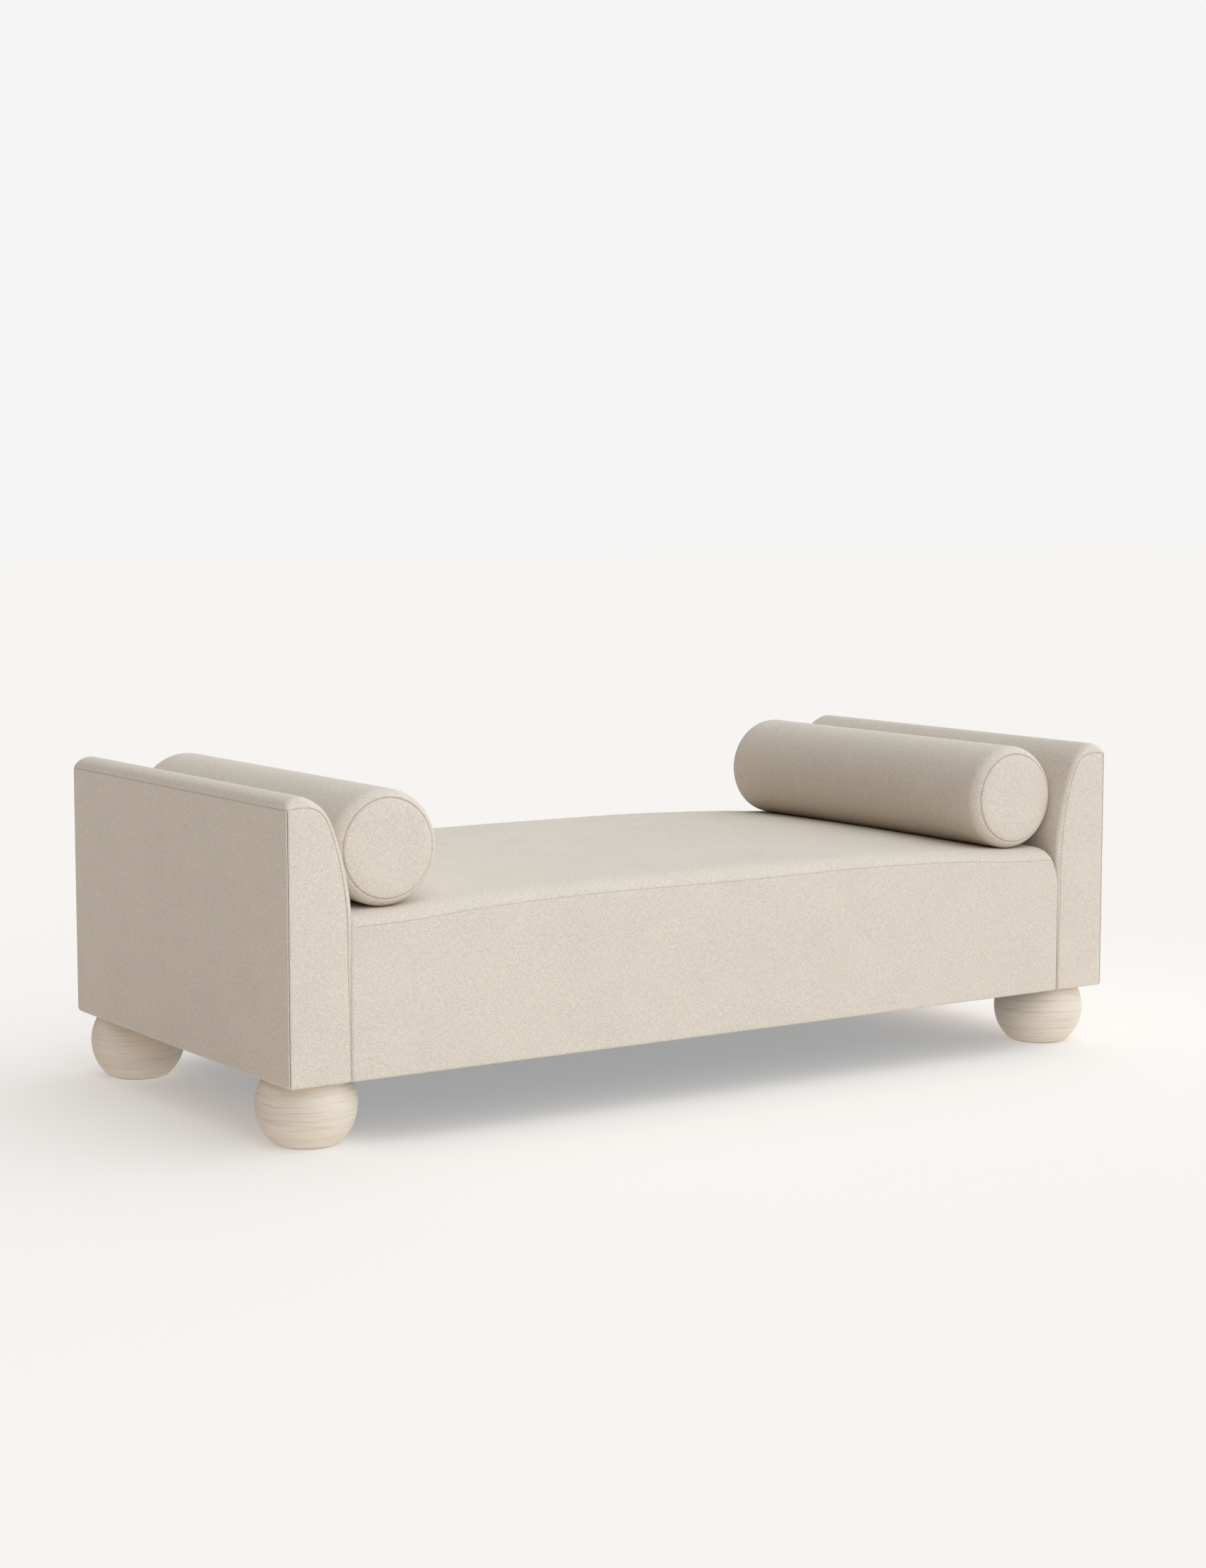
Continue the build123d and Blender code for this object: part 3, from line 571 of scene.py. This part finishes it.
def arm_rows(inset):
    """Rows of an arm's section: outside point, gusset-seam point, rounding, draw-in of the ends, and seam.

    The first list is the end panel, from under the base up to its top seam, and the second is the band.
    """
    hem_z = BASE_Z - HEM_DROP + inset
    bottom = hem_z + HEM_R
    panel = [((TURN_UNDER, hem_z), (TURN_UNDER, hem_z), CORNER_R, TURN_UNDER, CORNER_SEAM)]
    turns = hem_turns(hem_z)
    for u, z, upright in turns:
        panel.append(((u + inset, z), (u + inset + CORNER_R * upright, z), CORNER_R, u, CORNER_SEAM))
    for z in spaced(bottom, ARM_SEAM_Z, LENGTHWISE)[1:]:
        drawn = groove(ARM_SEAM_Z - z, TOP_SEAM) + inset
        panel.append(((drawn, z), (drawn + CORNER_R, z), CORNER_R, 0.0, CORNER_SEAM))
    band = []
    last = len(roll) - 1
    for i in range(last + 1):
        tangent = roll[min(i + 1, last)] - roll[max(i - 1, 0)]
        tangent /= np.linalg.norm(tangent)
        inward = np.array([tangent[1], -tangent[0]])
        drawn = inward * (groove(roll_places[i], TOP_SEAM) + inset)
        band.append((tuple(roll[i] + drawn), tuple(gusset_seam[i] + inward * inset), float(over[i]), 0.0,
                     ROLL_SEAM))
    (low_u, _), (low_seam_u, _), low_r = band[-1][:3]
    for u, z, upright in turns[::-1]:
        band.append(((low_u - u, z), (low_seam_u - u, z), low_r, u, ROLL_SEAM))
    band.append(((low_u - TURN_UNDER, hem_z), (low_seam_u - TURN_UNDER, hem_z), low_r, TURN_UNDER,
                 ROLL_SEAM))
    return panel, band


def arm_sheet(rows, half_depth):
    """Grid of an arm's cloth: the rows carried from the front seam, round its edge, to the back seam."""
    grid = []
    for (u, z), (seam_u, seam_z), radius, draw_in, seam in rows:
        across = math.hypot(u - seam_u, z - seam_z)
        ends = []
        for turn in TURN_STEPS[::-1]:
            share = math.cos(turn)
            tuck = groove(across * share, seam) + draw_in
            ends.append((seam_u + (u - seam_u) * share, radius * (1 - math.sin(turn)) + tuck,
                         seam_z + (z - seam_z) * share))
        reach = half_depth - radius - draw_in
        flat = list(np.linspace(-reach, reach, ARM_COLUMNS))[1:-1]
        line = [(pu - HALF_LENGTH, py - half_depth, pz) for pu, py, pz in ends]
        line += [(u - HALF_LENGTH, y, z) for y in flat]
        line += [(pu - HALF_LENGTH, half_depth - py, pz) for pu, py, pz in ends[::-1]]
        grid.append(line)
    return back_corner(np.array(grid))


def back_corner(grid):
    """Round the lower back corner of an arm."""
    height = np.clip(grid[:, :, 2] - (BASE_Z - HEM_DROP), 0, BACK_CORNER_R)
    inset = BACK_CORNER_R - np.sqrt(BACK_CORNER_R**2 - (BACK_CORNER_R - height) ** 2)
    t = np.clip((grid[:, :, 1] / HALF_DEPTH - BACK_CORNER_START) / (1 - BACK_CORNER_START), 0, 1)
    grid[:, :, 1] -= inset * t * t * (3 - 2 * t)
    return grid


def sheet_piece(name, grid):
    """A piece of cloth from a grid."""
    rows, columns = grid.shape[:2]
    return mesh_object(name, grid.reshape(-1, 3), grid_faces(rows, columns), grid_uvs(grid))


def along(path, shares):
    """Points at shares of the length of a path."""
    run = chords(path)
    return np.stack([np.interp(shares * run[-1], run, path[:, axis]) for axis in (0, 1)], axis=1)


def distance_to(points, path):
    """Distance of each point from a path."""
    start = path[:-1][None]
    step = (path[1:] - path[:-1])[None]
    share = np.sum((points[:, None] - start) * step, axis=2) / (np.sum(step**2, axis=2) + 1e-15)
    nearest = start + np.clip(share, 0, 1)[:, :, None] * step
    return np.min(np.linalg.norm(points[:, None] - nearest, axis=2), axis=1)


def gusset_grid(half_depth):
    """Grid of an arm's flat front inside its seam, a little full, with a hem turned under the base."""
    hem_z = BASE_Z - HEM_DROP
    bottom = hem_z + HEM_R
    top = int(np.argmax(gusset_seam[:, 1]))
    split = int(np.argmin(np.abs(gusset_seam[:, 0] - GUSSET_SPLIT)))
    corner = gusset_seam[0]
    outer_low = np.array([[CORNER_R, bottom], corner])
    inner_low = np.concatenate([[[gusset_seam[-1][0], bottom]], gusset_seam[:split - 1:-1]])
    shares = spaced(0.0, 1.0, GUSSET_PITCH, tuple(d / GUSSET_SIDE for d in EDGE_ROWS))
    high = np.linspace(0, 1, GUSSET_TOP_ROWS)[1:-1]
    left = np.concatenate([along(outer_low, shares), along(gusset_seam[:top + 1], high)])
    right = np.concatenate([along(inner_low, shares), along(gusset_seam[split:top - 1:-1], high)])
    outline = np.concatenate([outer_low[:1], gusset_seam, inner_low[:1]])
    near = np.array(EDGE_ROWS)
    middle = np.linspace(0, 1, GUSSET_COLUMNS)[1:-1]
    rows = []
    for a, b in zip(left, right):
        length = np.linalg.norm(b - a)
        reach = near * min(1.0, length / (GUSSET_NARROW * near[-1]))
        steps = np.concatenate([reach, reach[-1] + (length - 2 * reach[-1]) * middle, length - reach[::-1]])
        rows.append(a + (b - a) * (steps / length)[:, None])
    rows = np.array(rows)
    away = distance_to(rows.reshape(-1, 2), outline).reshape(rows.shape[:2])
    depth = groove(away, ROLL_SEAM) - GUSSET_FULL * (1 - np.exp(-away / GUSSET_FULL_RUN))
    grid = np.stack([rows[:, :, 0], depth - half_depth, rows[:, :, 1]], axis=2)
    hem = []
    first = grid[0]
    share = (first[:, 0] - first[0, 0]) / (first[-1, 0] - first[0, 0])
    for u, z, _ in [(TURN_UNDER, hem_z, 0.0)] + hem_turns(hem_z)[:-1]:
        ends = (first[0, 0] + u, first[-1, 0] - u)
        hem.append(np.stack([ends[0] + (ends[1] - ends[0]) * share, first[:, 1] + u,
                             np.full(len(share), z)], axis=1))
    grid = np.concatenate([np.array(hem), grid])
    grid[:, :, 0] -= HALF_LENGTH
    return grid


def build_arms():
    """The four panels of cloth of each arm."""
    panel, band = arm_rows(0.0)
    front = gusset_grid(HALF_DEPTH)
    back = front.copy()
    back[:, :, 1] *= -1
    grids = {"end_panel": arm_sheet(panel, HALF_DEPTH), "band": arm_sheet(band, HALF_DEPTH),
             "front_gusset": front, "back_gusset": back_corner(back)}
    faces = {"end_panel": (-1, 0, 0), "band": (1, 0, 0), "front_gusset": (0, -1, 0), "back_gusset": (0, 1, 0)}
    for part, grid in grids.items():
        piece = sheet_piece(f"left_{part}_cloth", grid)
        face_out(piece, faces[part])
        thicken(piece)
        twin = mirrored(piece, f"right_{part}_cloth")
        dress(piece, "cover_cloth", "frame", f"left_arm_{part}")
        dress(twin, "cover_cloth", "frame", f"right_arm_{part}")


def build_arm_foam():
    """Foam under the arm's cloth, as one closed block each."""
    inset = CLOTH + ARM_FOAM_GAP
    panel, band = arm_rows(inset)
    rows = panel[2:] + band[1:-2]
    grid = arm_sheet(rows, HALF_DEPTH - inset - ROLL_SEAM[0])
    count, columns = grid.shape[:2]
    faces = grid_faces(count, columns) + block_ends(count, columns)
    foam = mesh_object("left_arm_padding", grid.reshape(-1, 3), faces)
    outward(foam)
    twin = mirrored(foam, "right_arm_padding")
    dress(foam, "foam", "frame", "left_arm_foam")
    dress(twin, "foam", "frame", "right_arm_foam")


# ---------------------------------------------------------------- seat
def seat_columns():
    """Places along the length, close together where the seat falls away beside the arms."""
    left = SEAT_HALF - SEAT_LEFT_END[0]
    right = SEAT_HALF - SEAT_RIGHT_END[0]
    return np.concatenate([-(left + SEAT_LEFT_END[0] * np.sin(SEAT_TURNS))[::-1],
                           np.linspace(-left, right, SEAT_COLUMNS),
                           right + SEAT_RIGHT_END[0] * np.sin(SEAT_TURNS)])


def seat_fall(x):
    """How far the top has fallen at a place beside an arm."""
    fallen = np.zeros_like(x)
    for side, (run, fall) in ((-1, SEAT_LEFT_END), (1, SEAT_RIGHT_END)):
        over_end = np.clip((side * x - (SEAT_HALF - run)) / run, 0, 1)
        fallen += fall * (1 - np.sqrt(1 - over_end**2))
    return fallen


def seat_draw(x):
    """How far the front is drawn in at a place beside an arm."""
    over_end = np.clip((np.abs(x) - (SEAT_HALF - SEAT_END_R)) / SEAT_END_R, 0, 1)
    return SEAT_END_R * (1 - np.sqrt(1 - over_end**2))


def seat_height(x, y, inset):
    """Height of the seat's top: a rolled edge, a gentle crown, and a dent under each bolster."""
    edge = np.clip((HALF_DEPTH - np.abs(y)) / SEAT_ROLL_DEPTH, 0, 1)
    rise = eased(x, SEAT_ROLL) * np.sqrt(1 - (1 - edge) ** 2)
    crown = SEAT_CROWN * (1 - (y / HALF_DEPTH) ** 2)
    top = eased(x, SEAM_HEIGHTS) + rise + crown
    reach = np.clip(1 - ((np.abs(x) - BOLSTER_X) / BOLSTER_R) ** 2, 0, 1)
    under = BOLSTER_Z - BOLSTER_R * np.sqrt(reach) - BOLSTER_CLEAR
    along = 1 / (1 + np.exp((np.abs(y) - BOLSTER_HALF + DENT_END) / DENT_FADE))
    gap = top - under
    press = DENT_SOFT * np.log1p(np.exp(np.clip(gap / DENT_SOFT, -30, 30)))
    return top - press * along - seat_fall(x) - inset


def seat_sheets(inset):
    """Grids of the front panel, the top panel and the back panel."""
    x = seat_columns()
    half_depth = HALF_DEPTH - inset
    hem_z = BASE_Z - HEM_DROP + inset
    seam_z = eased(x, SEAM_HEIGHTS) - seat_fall(x) - inset
    front = [np.stack([x, np.full_like(x, TURN_UNDER - half_depth), np.full_like(x, hem_z)], axis=1)]
    for u, z, _ in hem_turns(hem_z):
        front.append(np.stack([x, u - half_depth + seat_draw(x), np.full_like(x, z)], axis=1))
    bottom = hem_z + HEM_R
    for share in spaced(0.0, 1.0, FRONT_PITCH, tuple(d / FRONT_HEIGHT for d in EDGE_ROWS))[1:]:
        z = bottom + (seam_z - bottom) * share
        drawn = groove((1 - share) * FRONT_HEIGHT, SEAT_SEAM)
        y = -half_depth + seat_draw(x) + drawn * SEAM_PULL
        front.append(np.stack([x, y, z - drawn * SEAM_DIP], axis=1))
    near, reach = np.array(SEAT_DEPTH_ROWS), HALF_DEPTH - SEAT_DEPTH_ROWS[-1]
    across = np.concatenate([near - HALF_DEPTH, np.linspace(-reach, reach, SEAT_MIDDLE_ROWS)[1:-1],
                             HALF_DEPTH - near[::-1]])
    top = []
    for y in across:
        z = seat_height(x, np.full_like(x, y), inset)
        rise = np.maximum(z - seam_z, 0)
        drawn = groove(np.hypot(HALF_DEPTH - abs(y), rise), SEAT_SEAM)
        toward = math.copysign(1, -y)
        edge = half_depth / HALF_DEPTH
        top.append(np.stack([x, y * edge + toward * (seat_draw(x) + drawn * SEAM_PULL), z - drawn * SEAM_DIP],
                            axis=1))
    front = np.array(front)
    back = front.copy()
    back[:, :, 1] *= -1
    return front, np.array(top), back


SEAT_FACES = {"seat_front_panel": (0, -1, 0), "seat_top_panel": (0, 0, 1), "seat_back_panel": (0, 1, 0)}


def build_seat():
    """The seat's three panels of cloth, with its wadding and foam."""
    front, top, back = seat_sheets(0.0)
    for name, grid in (("seat_front_panel", front), ("seat_top_panel", top), ("seat_back_panel", back)):
        piece = sheet_piece(f"{name}_cloth", grid)
        face_out(piece, SEAT_FACES[name])
        thicken(piece)
        dress(piece, "cover_cloth", "frame", name)
    for name, node, inset, base in (("seat_wadding_block", "seat_wadding", CLOTH + WADDING_GAP, None),
                                    ("seat_foam_block", "seat_foam", CLOTH + FOAM_INSET,
                                     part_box("seat_foam")[0][2])):
        front, top, back = seat_sheets(inset)
        if base is None:
            hem = len(HEM_TURNS)
            rows = np.concatenate([front[hem:], top[1:-1], back[hem:][::-1]])
        else:
            rows = top.copy()
            low = rows[[0, -1]].copy()
            low[:, :, 2] = base
            rows = np.concatenate([low[:1], rows, low[1:]])
        piece = sheet_piece(name, rows)
        outward(piece)
        if base is None:
            thicken(piece, WADDING)
        else:
            capped(piece, *block_ends(*rows.shape[:2]))
        dress(piece, "wadding" if base is None else "foam", "frame", node)


# ---------------------------------------------------------------- bolsters
def bolster_profile():
    """(radius, distance along the axis) from the seam over the shoulder, to half way along."""
    centre_r = BOLSTER_R - SHOULDER_R
    start = math.asin(min(1.0, (BOLSTER_SEAM_R - centre_r) / SHOULDER_R))
    points = []
    near = [start + d / SHOULDER_R for d in SHOULDER_EDGE]
    for turn in near + list(np.linspace(near[-1], math.pi / 2, SHOULDER_ROWS))[1:]:
        distance = (turn - start) * SHOULDER_R
        depth = groove(distance, DISC_SEAM)
        reach = SHOULDER_R - depth
        points.append((centre_r + reach * math.sin(turn), BOLSTER_HALF - SHOULDER_R + reach * math.cos(turn)))
    for y in np.linspace(BOLSTER_HALF - SHOULDER_R, 0, TUBE_ROWS)[1:]:
        points.append((BOLSTER_R, y))
    return points


def disc_profile():
    """(radius, distance along the axis) of an end disc from its seam to its middle."""
    centre_r = BOLSTER_R - SHOULDER_R
    lift = math.sqrt(SHOULDER_R**2 - (BOLSTER_SEAM_R - centre_r) ** 2)
    seam_y = BOLSTER_HALF - SHOULDER_R + lift
    points = []
    for d in DISC_RINGS:
        radius = BOLSTER_SEAM_R - d
        dome = DISC_DOME * (1 - (radius / BOLSTER_SEAM_R) ** DISC_FLATNESS)
        points.append((radius, seam_y + dome - groove(d, DISC_SEAM)))
    points.append((0.0, seam_y + DISC_DOME))
    return points


def revolved(name, profile, centre_x, tip=False):
    """A surface of revolution about the bolster's axis from (radius, distance) pairs."""
    turns = np.linspace(0, 2 * math.pi, BOLSTER_SEGMENTS, endpoint=False)
    rings = profile[:-1] if tip else profile
    verts = []
    uvs = []
    run = 0.0
    before = rings[0]
    for radius, y in rings:
        run += math.hypot(radius - before[0], y - before[1])
        before = (radius, y)
        for turn in turns:
            verts.append((centre_x + radius * math.sin(turn), y, BOLSTER_Z + radius * math.cos(turn)))
            if tip:
                uvs.append((radius * math.sin(turn), radius * math.cos(turn)))
            else:
                around = turn if turn <= math.pi else turn - 2 * math.pi
                uvs.append((around * BOLSTER_R, run))
    faces = grid_faces(len(rings), BOLSTER_SEGMENTS, closed=True)
    if tip:
        verts.append((centre_x, profile[-1][1], BOLSTER_Z))
        uvs.append((0, 0))
        last = (len(rings) - 1) * BOLSTER_SEGMENTS
        for i in range(BOLSTER_SEGMENTS):
            faces.append((last + i, last + (i + 1) % BOLSTER_SEGMENTS, len(verts) - 1))
    return mesh_object(name, verts, faces, uvs)


def build_bolster(side, sign):
    """A bolster's tube, two end discs and core."""
    x = sign * BOLSTER_X
    half = bolster_profile()
    tube = revolved(f"{side}_bolster_tube_cloth", half + [(r, -y) for r, y in half[-2::-1]], x)
    front = revolved(f"{side}_bolster_front_disc_cloth", [(r, -y) for r, y in disc_profile()], x, tip=True)
    back = revolved(f"{side}_bolster_back_disc_cloth", disc_profile(), x, tip=True)
    body = f"{side}_bolster"
    for piece, node in ((tube, "tube"), (front, "front_disc"), (back, "back_disc")):
        look_away(piece, x)
        thicken(piece)
        dress(piece, "cover_cloth", body, f"{side}_bolster_{node}")
    shrink = 1 - CORE_GAP / BOLSTER_R
    core_line = [(r * shrink, y * CORE_LENGTH) for r, y in disc_profile()[::-1][1:] + half]
    core = revolved(f"{side}_bolster_filling", core_line + [(r, -y) for r, y in core_line[-2::-1]], x)
    last = len(core.data.vertices)
    capped(core, range(BOLSTER_SEGMENTS), range(last - BOLSTER_SEGMENTS, last))
    dress(core, "foam", body, f"{side}_bolster_core")


def look_away(piece, x):
    """Make the faces of a bolster's sheet look away from the middle of the bolster."""
    middle = np.array((x, 0, BOLSTER_Z))
    total = sum(np.dot(face.normal, np.array(face.center) - middle) * face.area
                for face in piece.data.polygons)
    if total < 0:
        piece.data.flip_normals()


build_arms()
build_arm_foam()
build_seat()
build_bolster("left", -1)
build_bolster("right", 1)

# ---------------------------------------------------------------- carried-over CAD pieces
slots = {row["node"]: row["material_slot"] for row in frame["record"]["subparts"]}
for node, piece in frame["nodes"].items():
    for place in range(len(piece.material_slots)):
        piece.material_slots[place].material = materials[slots[node]]
    if not piece.material_slots:
        piece.data.materials.append(materials[slots[node]])

# ---------------------------------------------------------------- floor, light and camera
BACKDROP = 0.913  # the pale studio tone
FLOOR_GLOW = 0.335  # light the floor gives off itself, like a lit sweep
FLOOR_ALBEDO = (0.640, 0.595, 0.552)
KEY_SIDE = (0.77, -0.50, 0.38)  # the side that most of the sky's light comes from
SKY_DIM = (0.105, 0.066, 0.030)
SKY_BRIGHT = (1.23, 1.30, 1.365)
KEY_COLOUR = (0.95, 1.0, 1.05)
SKY_RANGE = (-0.5, 0.5)  # nearness to the key side, from dim to bright
SUN = 0.2
SUN_SPREAD = math.radians(38)
SUN_FROM = (0.20, -0.20, 0.95)
FLOOR_HALF = 40

# ---- the camera ----
CAMERA_AT = (-3.392, -5.097, 1.2377)
CAMERA_DOWN = 5.978  # degrees
CAMERA_ROUND = -33.66
LENS = 65.29
SENSOR = 36.0


def build_stage():
    """A plain pale floor, whose shadows stay light as on a lit studio sweep."""
    corners = [(x * FLOOR_HALF, y * FLOOR_HALF, 0) for x, y in ((-1, -1), (1, -1), (1, 1), (-1, 1))]
    floor = mesh_object("floor", corners, [(0, 1, 2, 3)])
    material, _, _, shader = shader_nodes("studio_floor")
    shader.inputs["Base Color"].default_value = (*FLOOR_ALBEDO, 1)
    shader.inputs["Roughness"].default_value = 1.0
    shader.inputs["Specular IOR Level"].default_value = 0.0
    shader.inputs["Emission Color"].default_value = (1, 1, 1, 1)
    shader.inputs["Emission Strength"].default_value = FLOOR_GLOW
    floor.data.materials.append(material)


def build_light():
    """Soft even light from all round, and a broad key from the front, the right and above."""
    world = bpy.data.worlds.new("studio")
    bpy.context.scene.world = world
    world.use_nodes = True
    nodes = world.node_tree.nodes
    links = world.node_tree.links
    background = nodes["Background"]
    background.inputs["Strength"].default_value = 1.0
    toward_key = nodes.new("ShaderNodeVectorMath")
    toward_key.operation = "DOT_PRODUCT"
    toward_key.inputs[1].default_value = KEY_SIDE
    links.new(nodes.new("ShaderNodeTexCoord").outputs["Generated"], toward_key.inputs[0])
    level = nodes.new("ShaderNodeMapRange")
    level.interpolation_type = "SMOOTHSTEP"
    level.inputs["From Min"].default_value = SKY_RANGE[0]
    level.inputs["From Max"].default_value = SKY_RANGE[1]
    links.new(toward_key.outputs["Value"], level.inputs["Value"])
    links.new(mixed(nodes, links, level.outputs["Result"], SKY_DIM, SKY_BRIGHT), background.inputs["Color"])
    backdrop = nodes.new("ShaderNodeBackground")
    backdrop.inputs["Color"].default_value = (1, 1, 1, 1)
    backdrop.inputs["Strength"].default_value = BACKDROP
    seen = nodes.new("ShaderNodeLightPath")
    mix = nodes.new("ShaderNodeMixShader")
    links.new(seen.outputs["Is Camera Ray"], mix.inputs[0])
    links.new(background.outputs[0], mix.inputs[1])
    links.new(backdrop.outputs[0], mix.inputs[2])
    links.new(mix.outputs[0], nodes["World Output"].inputs[0])
    key = bpy.data.lights.new("key", "SUN")
    key.energy = SUN
    key.color = KEY_COLOUR
    key.angle = SUN_SPREAD
    lamp = bpy.data.objects.new("key", key)
    bpy.context.scene.collection.objects.link(lamp)
    lamp.rotation_euler = Vector(SUN_FROM).to_track_quat("Z", "Y").to_euler()


def build_camera():
    """The camera in front of the left arm, a little above the bed and looking slightly down."""
    data = bpy.data.cameras.new("camera")
    data.lens = LENS
    data.sensor_width = SENSOR
    camera = bpy.data.objects.new("camera", data)
    camera.location = CAMERA_AT
    camera.rotation_euler = (math.radians(90 - CAMERA_DOWN), 0, math.radians(CAMERA_ROUND))
    bpy.context.scene.collection.objects.link(camera)
    bpy.context.scene.camera = camera


build_stage()
build_light()
build_camera()
bpy.context.scene.view_settings.view_transform = "Standard"
bpy.context.view_layer.update()
